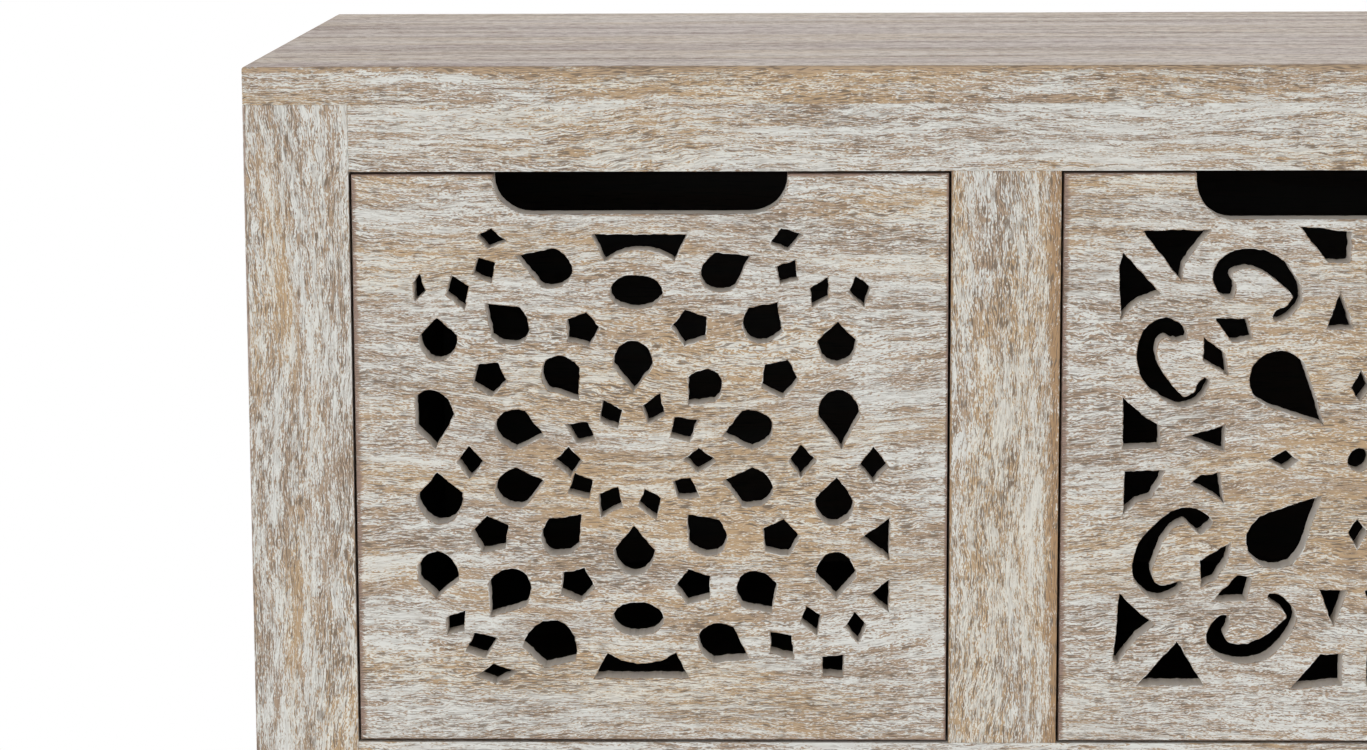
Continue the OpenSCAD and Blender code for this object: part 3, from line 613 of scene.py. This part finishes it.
STEEL = plain_finish("zinc_plated_steel", rgb(190, 192, 196), dull=0.3, metal=1.0, grit=900)
GLIDE = plain_finish("moulded_glide", rgb(52, 47, 42), dull=0.5, metal=0.0, grit=1500)


# ---------- dressing the pieces ----------
ORANGE_WOOD, TAN_WOOD, MAUVE_WOOD = rgb(164, 131, 95), rgb(178, 153, 124), rgb(160, 142, 130)
PINK_WOOD, RED_WOOD = rgb(144, 119, 107), rgb(150, 113, 92)
# the wash is rubbed off widest along the left end of a front and the right arris of a stile
FRONT_RUB = {"-x": 3.4, "+x": 1.7, "+z": 1.5, "-z": 1.0}
STILE_RUB = {"-x-y": 1.2, "+x-y": 7.5}
TOP_RUB = {"-x": 2, "+x": 2, "-y": 2}
# material slots of the top board, in the order in which its materials are added
BOARD_EDGE, BOARD_FACE = range(2)
FACING_UP = 0.9


def grain_of(node):
    if node.endswith(("side_rail", "_side")) or node in RUNNERS:
        return "y"
    if node.endswith(("post", "stile", "panel")):
        return "z"
    return "x"


def dress_front(node):
    offset, box = seed_of(node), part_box(node)
    mandala = len(face_loops(node, box[0][1])) > MANDALA_LOOPS
    return [
        wood(node + "_wash", WHITEWASH, "x", offset, cover=0.05, warm=0.0 if mandala else 0.09, box=box,
             rub=FRONT_RUB, fray=1.0, worn_color=PINK_WOOD if mandala else RED_WOOD, along=0.7, patch=1.05,
             bare_middle=0.12),
        wood(node + "_sawn", SAWN_WALL, "x", offset),
        # the inside face of the front gets the near-black painted shade
        wood(node + "_inside", PAINTED_SHADE_STAIN, "x", offset, shine=SHADE_STAIN_SHINE),
        wood(node + "_rim", WHITEWASH, "x", offset, cover=-0.04, warm=-0.04)]


def dress_other(node):
    offset, box, grain = seed_of(node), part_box(node), grain_of(node)
    if node == "top_screws":
        return [STEEL]
    if node == "floor_glides":
        return [GLIDE]
    # the drawer boxes and the pieces of dark wood get the near-black painted shade, so that the insides read as
    # black as shade
    if "_drawer_" in node or NODES[node].data.materials[0].name.startswith("dark_wood"):
        return [wood(node + "_stain", PAINTED_SHADE_STAIN, grain, offset, shine=SHADE_STAIN_SHINE)]
    if node == "top_board":
        return [
            wood("top_board_edge", WHITEWASH, grain, offset, cover=-0.05, warm=0.07, box=box, rub={"+z": 3.4},
                 fray=3.4, worn_color=TAN_WOOD, along=0.5),
            # the top face has the finish with painted shade and sheen in its tones
            wood("top_board_face", TOP_SHADED_WASH, grain, offset, box=box, rub=TOP_RUB, shine=0.15)]
    if node.endswith("_post"):
        corner = ("-x" if box[0][0] < 0 else "+x") + ("-y" if box[0][1] < 0 else "+y")
        return [wood(node + "_wash", WHITEWASH, grain, offset, cover=0.02, warm=0.02, box=box, rub={corner: 1.6},
                     worn_color=MAUVE_WOOD)]
    if node.endswith("_stile"):
        return [wood(node + "_wash", WHITEWASH, grain, offset, cover=0.03, warm=0.06, box=box, rub=STILE_RUB,
                     fray=1.4, worn_color=ORANGE_WOOD, along=1.4)]
    return [wood(node + "_wash", WHITEWASH, grain, offset, cover=0.11, warm=-0.02,
                 along=0.5 if grain == "x" else 1.0)]


for node in sorted(NODES):
    if node.endswith("_drawer_front"):
        piece, mats = pierced_front(node), dress_front(node)
    else:
        piece, mats = eased_piece(node, 2 if "_drawer_" in node else 3), dress_other(node)
    for m in mats:
        piece.data.materials.append(m)
    if node == "top_board":
        for f in piece.data.polygons:
            f.material_index = BOARD_FACE if f.normal.z > FACING_UP else BOARD_EDGE


# ---------- floor, light and surroundings ----------
FLOOR_RADIUS = 9
# away from the chest the floor runs out into the white behind it, between these distances
FLOOR_FADE = (0.9, 2.6)
LIT_HEIGHT = 0.6


def background_ray(t):
    """1 for the rays that show the background, also in metal and glass."""
    ray = t.nodes.new("ShaderNodeLightPath").outputs
    return calc(t, "MAXIMUM", ray["Is Camera Ray"],
                calc(t, "MAXIMUM", ray["Is Glossy Ray"], ray["Is Transmission Ray"]))


def make_stage():
    bm = bmesh.new()
    bmesh.ops.create_circle(bm, cap_ends=True, segments=96, radius=FLOOR_RADIUS)
    floor = add_object("floor", mesh_from(bm, "floor_mesh"))
    mat = bpy.data.materials.new("pale_floor")
    mat.use_nodes = True
    t = mat.node_tree
    bsdf = t.nodes["Principled BSDF"]
    bsdf.inputs["Base Color"].default_value = (0.86, 0.86, 0.86, 1)
    bsdf.inputs["Roughness"].default_value = 0.9
    x, y, z = split(t, t.nodes.new("ShaderNodeTexCoord").outputs["Object"])
    far = step(t, distance(t, x, y), *FLOOR_FADE)
    white = t.nodes.new("ShaderNodeEmission")
    mixed = t.nodes.new("ShaderNodeMixShader")
    t.links.new(calc(t, "MULTIPLY", far, background_ray(t)), mixed.inputs[0])
    t.links.new(bsdf.outputs[0], mixed.inputs[1])
    t.links.new(white.outputs[0], mixed.inputs[2])
    t.links.new(mixed.outputs[0], t.nodes["Material Output"].inputs[0])
    floor.data.materials.append(mat)


def make_lamp(name, place, size, watts):
    """A square lamp that looks at the middle of the chest."""
    data = bpy.data.lights.new(name, "AREA")
    data.shape = "SQUARE"
    data.size = size
    data.energy = watts
    lamp = add_object(name, data)
    lamp.location = place
    aim = Vector((0, 0, LIT_HEIGHT)) - Vector(place)
    lamp.rotation_mode = "QUATERNION"
    lamp.rotation_quaternion = aim.to_track_quat("-Z", "Y")


def make_world(level):
    world = bpy.data.worlds.new("studio")
    bpy.context.scene.world = world
    world.use_nodes = True
    t = world.node_tree
    t.nodes.clear()
    # the room is a little darker overhead than round the sides
    x, y, z = split(t, t.nodes.new("ShaderNodeTexCoord").outputs["Generated"])
    lit = step(t, z, 0.0, 0.9, level, level * 0.55)
    back = t.nodes.new("ShaderNodeBackground")
    back.inputs["Color"].default_value = (1, 1, 1, 1)
    t.links.new(calc(t, "MAXIMUM", lit, background_ray(t)), back.inputs["Strength"])
    t.links.new(back.outputs[0], t.nodes.new("ShaderNodeOutputWorld").inputs[0])


make_stage()
make_world(0.62)
make_lamp("key", (-1.4, -3.4, 1.5), size=2.4, watts=48)
make_lamp("fill", (2.4, -2.4, 1.2), size=2.0, watts=16)
make_lamp("rear", (0.6, 3.4, 1.8), size=2.4, watts=34)
# these two stand behind the plane of the fronts, so that only the sides and the top get their light
make_lamp("left", (-3.0, 0.7, 2.0), size=2.0, watts=32)
make_lamp("right", (3.0, 0.7, 2.0), size=2.0, watts=22)
